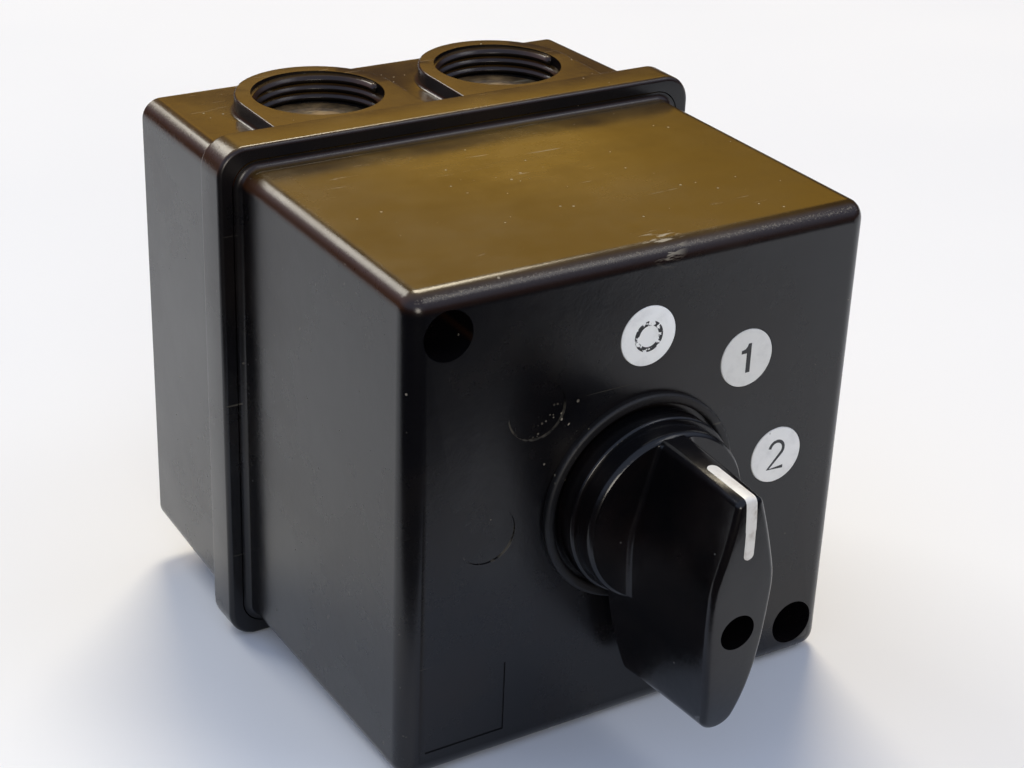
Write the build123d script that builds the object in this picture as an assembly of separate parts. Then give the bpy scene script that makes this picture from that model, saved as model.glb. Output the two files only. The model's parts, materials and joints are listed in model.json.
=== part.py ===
from build123d import *
import os
from math import cos, radians, sin

# Surface-mounted rotary switch with a 0-1-2 dial, in a dark moulded case.
# The frame: X to the right and Z up on the front face, the wall plane at Y = 0, the front towards -Y.
# A "depth" is a distance from the wall plane, so it grows towards the user. Millimetres throughout.

# Base moulding, the rear half of the case
base_depth = 37.6
base_side_step = 1.65
base_top_step = 0.6
base_draft = 0.6
base_edge_round = 3.4
base_wall = 4.0
base_floor = 4.0
cavity_round = 2.0
rim_side_step = 2.2
rim_top_step = 3.25
rim_thickness = 7.2
rim_corner_round = 5.0
rim_edge_round = 0.8

# Cover moulding, the front half of the case
cover_depth = 54.2
cover_wall = 3.6
cover_front_wall = 4.6
cover_edge_round = 3.0
cover_front_round = 3.2
foot_spread = 1.3
foot_depth = 2.4
foot_blend = 1.1
foot_clearance = 0.2

# Cord seal in the land between the two mouldings
seal_width = 1.8
seal_height = 1.4
seal_corner_round = 3.0

# Cable entries: two bosses on the base's top, each closed by a thin knock-out skin
entry_spacing = 35.2
entry_inset = 17.6
entry_radius = 11.25
entry_length = 8.5
entry_skin = 1.2
boss_radius = 14.0
boss_step = 0.5
boss_foot_blend = 0.8
boss_edge_round = 0.3

# Fixing holes to the wall
fixing_spacing_x = 60.0
fixing_spacing_z = 52.0
fixing_hole_radius = 2.3
fixing_boss_radius = 4.6
fixing_boss_height = 2.0

# Cover screws in deep wells, on one diagonal
well_inset_x = 6.6
well_inset_z = 6.8
well_radius = 4.0
well_wall = 1.8
well_bottom = 6.0
cover_screw_radius = 2.0
cover_screw_hole_clearance = 0.3
cover_screw_head_radius = 3.5
cover_screw_head_height = 2.6
cover_screw_length = 15.0
insert_radius = 3.2
insert_length = 10.0
insert_run_out = 6.0
pillar_radius = 5.4

# Dial: eight positions, three of them with a disc, the others with a blank ring mark
dial_radius = 27.0
dial_step_angle = 45.0
label_count = 3
label_radius = 4.9
label_thickness = 0.9
label_recess = 0.8
label_clearance = 0.1
label_edge_round = 0.15
mark_line = 0.25
mark_depth = 0.2
frame_mark_width = 14.0
frame_mark_height = 12.6
frame_mark_centre_x = -29.8
frame_mark_centre_z = -30.2

# Collar round the knob and the shaft bush in the cover
collar_radius = 17.4
collar_inner_radius = 15.7
collar_height = 1.3
collar_round = 0.6
collar_root = 0.5
bush_radius = 7.0
bush_flange_radius = 9.0
bush_flange_thickness = 1.6
bush_boss_radius = 10.5
bush_length = 12.0
washer_thickness = 1.5
washer_radius = 9.0
washer_clearance = 0.3

# Knob: round skirt and hub, and a long grip that points up at 0
knob_gap = 0.6
skirt_radius = 15.0
skirt_top = 4.5
skirt_round = 0.5
hub_radius = 14.2
hub_top = 8.4
hub_round = 1.2
knob_top = 27.9
grip_rear = 4.0
grip_wide_z = -3.0
grip_shoulder_rise = 2.1
grip_root_half_width = 7.9
grip_root_head_half_width = 2.6
grip_root_head_z = 13.8
grip_root_head_sag = 0.1
grip_root_toe_z = -30.4
grip_root_toe_radius = 3.4
grip_waist_level = 17.0
grip_waist_half_width = 5.5
grip_waist_head_half_width = 2.4
grip_waist_head_z = 13.5
grip_waist_head_sag = 0.25
grip_waist_toe_z = -29.3
grip_waist_toe_radius = 3.1
grip_half_width = 5.9
grip_head_half_width = 2.3
grip_head_z = 13.2
grip_head_sag = 1.1
grip_toe_z = -28.6
grip_toe_radius = 3.0
grip_corner_round = 1.3
grip_edge_round = 1.0
grip_foot_blend = 0.9
grip_margin = 1.0

# Crown of the grip's front: how far it lies below the knob's top at five places down its length
crown_head_drop = 0.7
crown_high_z = 8.0
crown_middle_z = -7.0
crown_middle_drop = 0.55
crown_low_z = -22.0
crown_low_drop = 2.0
crown_toe_drop = 4.9

# White inlay and the screw well in the grip
pointer_width = 1.9
pointer_thickness = 1.2
pointer_rear = 17.2
pointer_front_z = 3.2
knob_screw_offset = 9.7
knob_well_radius = 3.0
knob_well_floor = 9.5
knob_screw_radius = 1.5
knob_screw_head_radius = 2.7
knob_screw_head_height = 2.0
knob_screw_clearance = 0.2
driver_radius = 12.0
driver_thickness = 3.2
shaft_tip = 3.6
shaft_tip_clearance = 0.4

# Shaft
shaft_radius = 4.9
shaft_fit = 0.05
shaft_square = 7.6
rear_journal_radius = 3.7
rear_tail = 3.0
clip_radius = 5.8
clip_thickness = 1.0
clip_opening = 3.0
groove_radius = 2.9

# Slots in every screw head
screw_slot_width = 0.9
screw_slot_depth = 1.0

# Switching stack on its steel rear plate
plate_depth = 16.0
plate_thickness = 1.5
plate_side_gap = 2.65
plate_height = 46.0
plate_corner = 6.0
mounting_gap = 0.4
mounting_inset = 5.0
mounting_screw_radius = 2.0
mounting_head_radius = 3.6
mounting_head_height = 2.2
mounting_screw_length = 10.0
mounting_hole_clearance = 0.3
deck_count = 3
deck_pitch = 14.0
deck_apothem = 27.0
deck_floor = 2.5
deck_wall = 7.0
deck_bore_clearance = 0.6
tie_radius = 2.0
tie_inset = 3.6
tie_hole_clearance = 0.15
tie_nut_width = 7.0
tie_nut_height = 3.2
tie_head_height = 2.6
tie_tail = 1.0

# Rotors, moving blades and fixed jaws in each deck
neck_radius = 6.4
flange_radius = 10.5
neck_length = 3.4
flange_length = 3.0
blade_thickness = 1.5
blade_ring_radius = 9.0
blade_gap = 2.0
wide_arm_start = 80.0
wide_arm_end = 190.0
narrow_arm_centre = 270.0
narrow_arm_width = 5.0
jaw_angles = {"common": 180.0, "one": 315.0, "two": 360.0}
jaw_gap = 0.15
jaw_leaf = 1.0
jaw_grip = 4.5
jaw_bridge_gap = 1.0
jaw_width = 6.0
slot_clearance = 0.1
terminal_length = 4.5
terminal_width = 8.0
terminal_height = 8.0
terminal_screw_radius = 1.6
terminal_head_radius = 2.9
terminal_head_height = 2.2
terminal_screw_depth = 3.6
terminal_gap = 3.9

# Detent and stop
detent_depth = 12.0
detent_wall = 6.0
star_tip_radius = 16.4
star_notch_radius = 2.3
star_thickness = 6.0
star_start = 2.0
star_hub_radius = 7.5
spring_height = 17.6
spring_thickness = 0.5
spring_width = 4.0
spring_slot_depth = 1.5
nose_clearance = 0.3
nose_opening = 3.0
front_plate_thickness = 1.2
plate_bore_clearance = 0.5
stop_pin_radius = 1.5
stop_circle = 12.5
stop_clearance = 0.3
stop_start_angle = 90.0
travel = 90.0

# Earth terminal on the base's floor
earth_wall_gap = 4.8
earth_pad_height = 6.0
earth_width = 10.0
earth_depth = 7.0
earth_height = 5.0
earth_head_radius = 2.3
earth_screw_depth = 5.0
earth_pad_margin = 1.0

# How far a cutting shape runs past what it cuts, and how near two places count as one
cut_overrun = 1.0
same_place = 0.001

# The stack's own radii, and the case that goes round the stack
deck_chamber_radius = deck_apothem - deck_wall
detent_chamber_radius = deck_apothem - detent_wall
tie_circle = deck_apothem - tie_inset
blade_tip_radius = deck_chamber_radius - blade_gap
jaw_inner_radius = blade_tip_radius - jaw_grip
jaw_bridge_radius = deck_chamber_radius - jaw_bridge_gap
mounting_x = deck_apothem + mounting_gap + mounting_head_radius
plate_width = 2 * (mounting_x + mounting_inset)
base_front_width = plate_width + 2 * (plate_side_gap + base_wall)
cover_width = base_front_width - 2 * base_side_step
terminal_reach = deck_apothem + terminal_length + terminal_head_height
cover_height = 2 * (terminal_reach + terminal_gap + cover_wall)
base_front_height = cover_height + 2 * base_top_step
base_rear_width = base_front_width - 2 * base_draft
base_rear_height = base_front_height - 2 * base_draft
rim_width = base_front_width + 2 * rim_side_step
rim_height = base_front_height + 2 * rim_top_step
well_x = cover_width / 2 - well_inset_x
well_z = cover_height / 2 - well_inset_z
earth_z = base_wall + earth_wall_gap - base_front_height / 2

# Levels that follow from the sizes above
seat_depth = base_depth - foot_depth
front_depth = base_depth + cover_depth
inner_front_depth = front_depth - cover_front_wall
entry_top = rim_height / 2 - boss_step
stack_depth = plate_depth + plate_thickness
detent_start = stack_depth + deck_count * deck_pitch
front_plate_depth = detent_start + detent_depth
stack_front = front_plate_depth + front_plate_thickness
driver_front = front_depth + knob_gap + driver_thickness
blade_start = neck_length + flange_length


def at(depth):
    """Plane parallel to the wall at this depth; its local x is X, its local y is Z."""
    return Plane.XZ.offset(depth)


def slab(sketch, start, end):
    """A flat outline on the front view, made solid from one depth to another."""
    return extrude(at(start) * sketch, amount=end - start)


def polar(radius, clock_angle):
    """A place on the front view by its clock angle: 0 is up and 90 is to the right."""
    a = radians(clock_angle)
    return Pos(radius * sin(a), radius * cos(a))


def diagonal_pair():
    """The cover screws' two places: upper left and lower right."""
    return [Pos(-well_x, well_z), Pos(well_x, -well_z)]


def fixing_places():
    return GridLocations(fixing_spacing_x, fixing_spacing_z, 2, 2).locations


def entry_places():
    return [Pos(side * entry_spacing / 2, -entry_inset) for side in (-1, 1)]


def tie_places():
    return [polar(tie_circle, angle) for angle in (45, 225)]


def mounting_places():
    return [Pos(side * mounting_x, 0) for side in (-1, 1)]


def join(first, rest):
    for other in rest:
        first = first + other
    return first


def cut(first, rest):
    for other in rest:
        first = first - other
    return first


def boss_edges(body, low, high):
    """The bosses' outline edges that lie between two heights, without those along the rim."""
    found = []
    for edge in body.edges():
        box = edge.bounding_box()
        between = box.min.Z > low - same_place and box.max.Z < high + same_place
        beside = abs(edge.center().X) < entry_spacing / 2 + boss_radius + same_place
        if between and beside and box.size.Y > boss_step:
            found.append(edge)
    return found


def base():
    """Tapered rear box with an outward rim, two cable bosses, pillars and wall fixing holes."""
    box_depth = base_depth - rim_thickness
    rear = at(0) * RectangleRounded(base_rear_width, base_rear_height, base_edge_round)
    front = at(box_depth) * RectangleRounded(base_front_width, base_front_height, base_edge_round)
    body = loft([rear, front])
    rim = slab(RectangleRounded(rim_width, rim_height, rim_corner_round), box_depth, base_depth)
    rim = fillet(rim.faces().filter_by(Axis.Y).edges(), rim_edge_round)
    body = body + rim

    top = Plane.XY.offset(base_front_height / 2 - base_wall)
    for place in entry_places():
        pad = Circle(boss_radius) + Pos(0, -(box_depth - entry_inset) / 2) * Rectangle(
            2 * boss_radius, box_depth - entry_inset)
        body += extrude(top * place * pad, amount=entry_top - top.origin.Z)
    body = fillet(boss_edges(body, base_rear_height / 2, base_front_height / 2), boss_foot_blend)
    body = fillet(boss_edges(body, entry_top, entry_top), boss_edge_round)

    inner_width = base_front_width - 2 * base_wall
    inner_height = base_front_height - 2 * base_wall
    body -= slab(RectangleRounded(inner_width, inner_height, cavity_round), base_floor, base_depth)
    foot_width = cover_width + 2 * foot_spread + 2 * foot_clearance
    foot_height = cover_height + 2 * foot_spread + 2 * foot_clearance
    foot_round = cover_edge_round + foot_spread + foot_clearance
    body -= slab(RectangleRounded(foot_width, foot_height, foot_round), seat_depth, base_depth)

    skin_bottom = entry_top - entry_length - entry_skin
    for place in entry_places():
        well = extrude(Plane.XY.offset(skin_bottom) * place * Circle(boss_radius),
                       amount=inner_height / 2 + cut_overrun - skin_bottom)
        body += well
        body -= extrude(Plane.XY.offset(entry_top - entry_length) * place * Circle(entry_radius),
                        amount=entry_length + cut_overrun)

    for place in diagonal_pair():
        body += slab(place * Circle(pillar_radius), base_floor / 2, seat_depth)
        body -= slab(place * Circle(insert_radius), seat_depth - insert_length, seat_depth)
        body -= slab(place * Circle(cover_screw_radius + cover_screw_hole_clearance),
                     seat_depth - insert_length - insert_run_out, seat_depth - insert_length)
    for place in mounting_places():
        body += slab(place * Circle(pillar_radius), base_floor / 2, plate_depth)
        body -= slab(place * Circle(mounting_screw_radius), plate_depth - mounting_screw_length, plate_depth)
    for place in fixing_places():
        body += slab(place * Circle(fixing_boss_radius), base_floor / 2, base_floor + fixing_boss_height)
        body -= slab(place * Circle(fixing_hole_radius), -cut_overrun,
                     base_floor + fixing_boss_height + cut_overrun)
    body += slab(Pos(0, earth_z) * Rectangle(earth_width + 2 * earth_pad_margin,
                                            earth_height + 2 * earth_pad_margin),
                 base_floor / 2, earth_pad_height)
    return body - seal_ring(seat_depth - seal_height, seat_depth)


def seal_ring(start, end):
    """The path of the cord seal, halfway across the land that the cover's foot sits on."""
    land_outer = cover_width / 2 + foot_spread
    land_inner = base_front_width / 2 - base_wall
    middle_x = (land_outer + land_inner) / 2
    middle_z = (cover_height / 2 + foot_spread + base_front_height / 2 - base_wall) / 2
    outer = RectangleRounded(2 * middle_x + seal_width, 2 * middle_z + seal_width,
                             seal_corner_round)
    inner = RectangleRounded(2 * middle_x - seal_width, 2 * middle_z - seal_width,
                             seal_corner_round - seal_width)
    return slab(outer - inner, start, end)


def gasket():
    return seal_ring(seat_depth - seal_height, seat_depth)


def cover():
    """Deep front box with a spread foot, two screw wells, the dial's recesses and a knob collar."""
    foot = slab(RectangleRounded(cover_width + 2 * foot_spread, cover_height + 2 * foot_spread,
                                 cover_edge_round + foot_spread), seat_depth, base_depth)
    box = slab(RectangleRounded(cover_width, cover_height, cover_edge_round), base_depth, front_depth)
    box = fillet(box.faces().sort_by(Axis.Y)[0].edges(), cover_front_round)
    body = foot + box
    step = body.faces().filter_by_position(Axis.Y, -base_depth - same_place, -base_depth + same_place)[0]
    body = fillet(step.inner_wires()[0].edges(), foot_blend)
    body -= slab(RectangleRounded(cover_width - 2 * cover_wall, cover_height - 2 * cover_wall,
                                  cavity_round),
                 seat_depth, inner_front_depth)

    floor = seat_depth + well_bottom
    for place in diagonal_pair():
        body += slab(place * Circle(well_radius + well_wall), seat_depth, inner_front_depth)
        body -= slab(place * Circle(well_radius), floor, front_depth + cut_overrun)
        body -= slab(place * Circle(cover_screw_radius + cover_screw_hole_clearance), seat_depth, floor)

    ring = slab(Circle(collar_radius) - Circle(collar_inner_radius), front_depth - collar_root,
                front_depth + collar_height)
    ring = fillet(ring.faces().sort_by(Axis.Y)[0].edges(), collar_round)
    body += ring
    bush_start = front_depth - bush_length
    body += slab(Circle(bush_boss_radius), bush_start, inner_front_depth)
    body -= slab(Circle(bush_radius), bush_start, front_depth + cut_overrun)
    body -= slab(Circle(bush_flange_radius), bush_start, bush_start + bush_flange_thickness)
    body -= slab(Circle(washer_radius), front_depth - washer_thickness, front_depth)

    for index in range(round(360 / dial_step_angle)):
        place = polar(dial_radius, index * dial_step_angle)
        if index < label_count:
            body -= slab(place * Circle(label_radius + label_clearance), front_depth - label_recess,
                         front_depth + cut_overrun)
        else:
            line = Circle(label_radius) - Circle(label_radius - mark_line)
            body -= slab(place * line, front_depth - mark_depth, front_depth + cut_overrun)
    frame = Rectangle(frame_mark_width, frame_mark_height) - Rectangle(
        frame_mark_width - 2 * mark_line, frame_mark_height - 2 * mark_line)
    body -= slab(Pos(frame_mark_centre_x, frame_mark_centre_z) * frame, front_depth - mark_depth,
                 front_depth + cut_overrun)
    return body


def label(index):
    """A thin disc pressed into its recess; its number is printed on it."""
    place = polar(dial_radius, index * dial_step_angle)
    start = front_depth - label_recess
    disc = slab(place * Circle(label_radius), start, start + label_thickness)
    return fillet(disc.faces().sort_by(Axis.Y)[0].edges(), label_edge_round)


def slotted_screw(seat, head_radius, head_height, shank_radius, length):
    """Cheese-head screw along the depth, its head in front of the seat and its shank behind it."""
    top = seat + head_height
    head = slab(Circle(head_radius), seat, top)
    head -= slab(Rectangle(2 * head_radius + cut_overrun, screw_slot_width), top - screw_slot_depth, top)
    return head + slab(Circle(shank_radius), seat - length, seat)


def at_places(places, shape):
    """Copies of a shape at places on the front view, kept as separate solids."""
    return Compound([Pos(place.position.X, 0, place.position.Y) * shape for place in places])


def cover_screws():
    """Two screws at the bottom of the wells."""
    return at_places(diagonal_pair(), slotted_screw(
        seat_depth + well_bottom, cover_screw_head_radius, cover_screw_head_height, cover_screw_radius,
        cover_screw_length))


def cover_inserts():
    """Two threaded sleeves moulded into the base's pillars."""
    sleeve = slab(Circle(insert_radius) - Circle(cover_screw_radius), seat_depth - insert_length, seat_depth)
    return at_places(diagonal_pair(), sleeve)


def shaft_bush():
    """Flanged bearing sleeve in the cover, with a running fit on the shaft."""
    start = front_depth - bush_length
    sleeve = slab(Circle(bush_flange_radius), start, start + bush_flange_thickness)
    sleeve += slab(Circle(bush_radius), start, front_depth - washer_thickness)
    return sleeve - slab(Circle(shaft_radius + shaft_fit), start, front_depth)


def shaft_washer():
    """Soft sealing ring round the shaft, under the knob's driver."""
    ring = Circle(washer_radius) - Circle(shaft_radius + washer_clearance)
    return slab(ring, front_depth - washer_thickness, front_depth)


def in_front(shape):
    """Moves a shape that was built on the cover's front out to its depth."""
    return Pos(0, -front_depth, 0) * shape


def grip_outline(half_width, head_half_width, head_z, head_sag, toe_z, toe_radius):
    """Boat outline: an arched head, straight shoulders, the widest place under the middle, a round toe."""
    corner = Vector(head_half_width, head_z - head_sag)
    knee = Vector(half_width, grip_wide_z + grip_shoulder_rise)
    bend = knee + (corner - knee).normalized() * grip_shoulder_rise
    toe_centre = Vector(0, toe_z + toe_radius)
    drop = grip_wide_z - toe_centre.Y
    side_radius = (half_width ** 2 + drop ** 2 - toe_radius ** 2) / (2 * (half_width - toe_radius))
    side_centre = Vector(half_width - side_radius, grip_wide_z)
    touch = toe_centre + (toe_centre - side_centre).normalized() * toe_radius
    lines = [ThreePointArc((touch.X, touch.Y), (0, toe_z), (-touch.X, touch.Y)),
             ThreePointArc((corner.X, corner.Y), (0, head_z), (-corner.X, corner.Y))]
    for side in (1, -1):
        widest = (side * half_width, grip_wide_z)
        shoulder = (side * bend.X, bend.Y)
        lines += [Line((side * corner.X, corner.Y), shoulder), TangentArc(widest, shoulder, tangent=(0, 1)),
                  TangentArc(widest, (side * touch.X, touch.Y), tangent=(0, -1))]
    outline = make_face(Wire(lines))
    corners = [v for v in outline.vertices() if abs(v.Y - corner.Y) < same_place]
    return fillet(corners, grip_corner_round)


def grip_profile():
    """The grip seen from its side, as wide as needed: its front is the crown's curve."""
    head_end = grip_root_head_z + grip_margin
    toe_end = grip_root_toe_z - grip_margin
    reach = grip_root_half_width + grip_margin
    crown = Spline((head_end, knob_top - crown_head_drop), (crown_high_z, knob_top),
                   (crown_middle_z, knob_top - crown_middle_drop), (crown_low_z, knob_top - crown_low_drop),
                   (toe_end, knob_top - crown_toe_drop))
    sides = Polyline(crown @ 1, (toe_end, 0), (head_end, 0), crown @ 0)
    across = Plane(origin=(-reach, 0, 0), x_dir=(0, 0, 1), z_dir=(1, 0, 0))
    return extrude(across * make_face(Wire([crown] + sides.edges())), amount=2 * reach)


def grip():
    """The long grip: a loft from a wide root over a slim waist, with a crowned front and soft edges."""
    root = grip_outline(grip_root_half_width, grip_root_head_half_width, grip_root_head_z,
                        grip_root_head_sag, grip_root_toe_z, grip_root_toe_radius)
    waist = grip_outline(grip_waist_half_width, grip_waist_head_half_width, grip_waist_head_z,
                         grip_waist_head_sag, grip_waist_toe_z, grip_waist_toe_radius)
    front = grip_outline(grip_half_width, grip_head_half_width, grip_head_z, grip_head_sag,
                         grip_toe_z, grip_toe_radius)
    body = loft([at(grip_rear) * root, at(grip_waist_level) * waist, at(knob_top + grip_margin) * front])
    body = (body & grip_profile()).solids()[0]
    return fillet(body.faces().sort_by(Axis.Y)[0].edges(), grip_edge_round)


def foot_blend_piece(handle):
    """The soft hollow round the grip's foot, cut off where the hub's own round begins."""
    plate = slab(Circle(hub_radius - grip_root_toe_z), grip_rear, hub_top)
    raised = plate + handle
    level = raised.faces().filter_by_position(Axis.Y, -hub_top - same_place, -hub_top + same_place)[0]
    raised = fillet(level.inner_wires()[0].edges(), grip_foot_blend)
    hub_face = Circle(hub_radius - hub_round / 2)
    return raised & slab(hub_face, hub_top - hub_round / 2, hub_top + grip_foot_blend)


def pointer_bar():
    """The inlay's stadium outlines on the grip's head and on its front face, as one bent bar."""
    along_front = SlotOverall(2 * (grip_head_z - pointer_front_z), pointer_width)
    front_bar = slab(Pos(0, grip_head_z) * Rot(0, 0, 90) * along_front, knob_top - pointer_thickness,
                     knob_top)
    front_bar = split(front_bar, Plane.XY.offset(grip_head_z - pointer_thickness), keep=Keep.BOTTOM)
    head_plane = Plane(origin=(0, -knob_top, grip_head_z - pointer_thickness), x_dir=(0, 1, 0),
                       z_dir=(0, 0, 1))
    head_bar = extrude(head_plane * SlotOverall(2 * (knob_top - pointer_rear), pointer_width),
                       amount=grip_root_head_z)
    head_bar = split(head_bar, Plane.XZ.offset(knob_top), keep=Keep.BOTTOM)
    return front_bar + head_bar


def knob_blank():
    """Skirt, hub and grip as one moulding, before its pockets."""
    skirt = slab(Circle(skirt_radius), knob_gap, skirt_top)
    skirt = fillet(skirt.faces().sort_by(Axis.Y)[0].edges(), skirt_round)
    hub = slab(Circle(hub_radius), grip_rear, hub_top)
    hub = fillet(hub.faces().sort_by(Axis.Y)[0].edges(), hub_round)
    handle = grip()
    return hub + handle + foot_blend_piece(handle) + skirt


def knob():
    body = in_front(knob_blank() - pointer_bar())
    start = front_depth + knob_gap
    body -= slab(Circle(driver_radius), start, driver_front)
    body -= slab(Rectangle(shaft_square, shaft_square), driver_front,
                 driver_front + shaft_tip + shaft_tip_clearance)
    screw_place = Pos(0, -knob_screw_offset)
    body -= slab(screw_place * Circle(knob_well_radius), front_depth + knob_well_floor,
                 front_depth + knob_top + cut_overrun)
    body -= slab(screw_place * Circle(knob_screw_radius + knob_screw_clearance), driver_front,
                 front_depth + knob_well_floor)
    return body


def knob_pointer():
    """The white inlay, trimmed to the grip's own surface."""
    return in_front(pointer_bar() & knob_blank())


def knob_screw():
    """The screw at the bottom of the grip's well, through the knob into the driver."""
    floor = front_depth + knob_well_floor
    screw = slotted_screw(floor, knob_screw_head_radius, knob_screw_head_height, knob_screw_radius,
                          floor - driver_front + driver_thickness)
    return Pos(0, 0, -knob_screw_offset) * screw


def driver():
    """Brass plate in the knob's rear, square on the shaft and tapped for the knob's screw."""
    plate = Circle(driver_radius) - Rectangle(shaft_square, shaft_square)
    plate -= Pos(0, -knob_screw_offset) * Circle(knob_screw_radius)
    return slab(plate, driver_front - driver_thickness, driver_front)


def shaft():
    """Square shaft with a round journal in the cover's bush and another in the rear plate."""
    square = Rectangle(shaft_square, shaft_square)
    tail = plate_depth - rear_tail
    body = slab(Circle(rear_journal_radius), tail, stack_depth)
    groove = Circle(rear_journal_radius + cut_overrun) - Circle(groove_radius)
    body -= slab(groove, plate_depth - clip_thickness, plate_depth)
    body += slab(square, stack_depth, stack_front)
    body += slab(Circle(shaft_radius), stack_front, front_depth + knob_gap)
    body += slab(square & Circle(shaft_radius), front_depth + knob_gap, driver_front + shaft_tip)
    return body


def shaft_clip():
    """Open retaining ring in the shaft's groove, behind the rear plate."""
    ring = Circle(clip_radius) - Circle(groove_radius) - Pos(0, -clip_radius) * Rectangle(
        clip_opening, 2 * (clip_radius - groove_radius + cut_overrun))
    return slab(ring, plate_depth - clip_thickness, plate_depth)


def rear_plate():
    """Steel carrier plate: it bears the stack, the shaft's rear journal and the two mounting ears."""
    plate = RectangleRounded(plate_width, plate_height, plate_corner)
    plate = cut(plate, [place * Circle(mounting_screw_radius + mounting_hole_clearance)
                        for place in mounting_places()])
    plate = cut(plate, [place * Circle(tie_radius + tie_hole_clearance) for place in tie_places()])
    plate -= Circle(rear_journal_radius + shaft_fit)
    return slab(plate, plate_depth, stack_depth)


def mounting_screws():
    """Two screws through the rear plate's ears into the base's pillars."""
    return at_places(mounting_places(), slotted_screw(
        stack_depth, mounting_head_radius, mounting_head_height, mounting_screw_radius,
        mounting_screw_length))


def octagon():
    """Outline of the insulating decks, with flats up, down and at the corners."""
    return RegularPolygon(deck_apothem, 8, major_radius=False, rotation=22.5)


def deck(index):
    """Insulating deck: a round chamber, a bore for the rotor and a slot for each fixed contact."""
    start = stack_depth + index * deck_pitch
    end = start + deck_pitch
    body = slab(octagon(), start, end)
    body -= slab(Circle(deck_chamber_radius), start + deck_floor, end)
    body -= slab(Circle(neck_radius + deck_bore_clearance), start, end)
    body = cut(body, [slab(place * Circle(tie_radius + tie_hole_clearance), start, end)
                      for place in tie_places()])
    slot_start = start + blade_start - jaw_gap - jaw_leaf - slot_clearance
    for angle in jaw_angles.values():
        slot = Rot(0, 0, -angle) * Pos(0, deck_apothem) * Rectangle(
            jaw_width + 2 * slot_clearance, 2 * (deck_apothem - jaw_bridge_radius))
        body -= slab(slot, slot_start, end)
    return body


def rotor(index):
    """Insulating rotor that carries one blade between its flange and the next rotor's neck."""
    start = stack_depth + index * deck_pitch
    body = slab(Circle(neck_radius), start, start + deck_pitch)
    body += slab(Circle(flange_radius), start + neck_length, start + blade_start)
    return body - slab(Rectangle(shaft_square, shaft_square), start, start + deck_pitch)


def sector(radius, start_angle, end_angle):
    """A slice of a disc between two clock angles."""
    middle = (start_angle + end_angle) / 2
    arc = ThreePointArc(*[tuple(polar(radius, a).position)[:2] for a in (start_angle, middle, end_angle)])
    return make_face(Wire([Line((0, 0), arc @ 0), arc, Line(arc @ 1, (0, 0))]))


def blade(index):
    """Moving contact: a wide arm that stays in the common jaw and a narrow arm that finds 1 and 2."""
    start = stack_depth + index * deck_pitch + blade_start
    outline = Circle(blade_ring_radius) + sector(blade_tip_radius, wide_arm_start, wide_arm_end)
    outline += Rot(0, 0, -narrow_arm_centre) * Pos(0, blade_tip_radius / 2) * Rectangle(
        narrow_arm_width, blade_tip_radius)
    return slab(outline - Circle(neck_radius), start, start + blade_thickness)


def fixed_contact(index, name):
    """Jaw of two leaves, joined behind the blade's tip and led out to a terminal block."""
    middle = stack_depth + index * deck_pitch + blade_start + blade_thickness / 2
    half_gap = blade_thickness / 2 + jaw_gap
    half_height = half_gap + jaw_leaf
    long = deck_apothem - jaw_inner_radius
    bar = Pos(0, jaw_inner_radius + long / 2) * Rectangle(jaw_width, long)
    leaf_gap = Pos(0, (jaw_inner_radius + jaw_bridge_radius) / 2) * Rectangle(
        jaw_width + cut_overrun, jaw_bridge_radius - jaw_inner_radius)
    body = slab(bar, middle - half_height, middle + half_height)
    body -= slab(leaf_gap, middle - half_gap, middle + half_gap)
    block = Pos(0, deck_apothem + terminal_length / 2) * Rectangle(terminal_width, terminal_length)
    body += slab(block, middle - terminal_height / 2, middle + terminal_height / 2)
    tap = Plane(origin=(0, -middle, deck_apothem + terminal_length - terminal_screw_depth), z_dir=(0, 0, 1))
    body -= extrude(tap * Circle(terminal_screw_radius), amount=terminal_screw_depth)
    return Rot(0, jaw_angles[name], 0) * body


def terminal_screws():
    """One screw in the outer end of every terminal block."""
    outer = deck_apothem + terminal_length
    screw = Rot(-90, 0, 0) * slotted_screw(outer, terminal_head_radius, terminal_head_height,
                                           terminal_screw_radius, terminal_screw_depth)
    solids = []
    for index in range(deck_count):
        middle = stack_depth + index * deck_pitch + blade_start + blade_thickness / 2
        solids += [Rot(0, angle, 0) * Pos(0, -middle, 0) * screw for angle in jaw_angles.values()]
    return Compound(solids)


def detent_housing():
    """Insulating ring in front of the decks, with slots that hold the two detent springs' ends."""
    body = slab(octagon(), detent_start, front_plate_depth)
    body -= slab(Circle(detent_chamber_radius), detent_start, front_plate_depth)
    body = cut(body, [slab(place * Circle(tie_radius + tie_hole_clearance), detent_start, front_plate_depth)
                      for place in tie_places()])
    middle = detent_start + star_start + star_thickness / 2
    for side in (-1, 1):
        reach = (detent_chamber_radius ** 2 - spring_height ** 2) ** 0.5 + spring_slot_depth
        slot = Pos(0, side * (spring_height + spring_thickness / 2)) * Rectangle(2 * reach, spring_thickness)
        body -= slab(slot, middle - spring_width / 2, front_plate_depth)
    return body


def star_wheel():
    """Detent wheel with eight notches and the stop pin that runs in the front plate's slot."""
    start = detent_start + star_start
    wheel = Circle(star_tip_radius) - Rectangle(shaft_square, shaft_square)
    for index in range(round(360 / dial_step_angle)):
        wheel -= polar(star_tip_radius, index * dial_step_angle) * Circle(star_notch_radius)
    body = slab(wheel, start, start + star_thickness)
    hub = Circle(star_hub_radius) - Rectangle(shaft_square, shaft_square)
    body += slab(hub, detent_start, front_plate_depth)
    return body + slab(polar(stop_circle, stop_start_angle) * Circle(stop_pin_radius),
                       start + star_thickness, stack_front)


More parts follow.
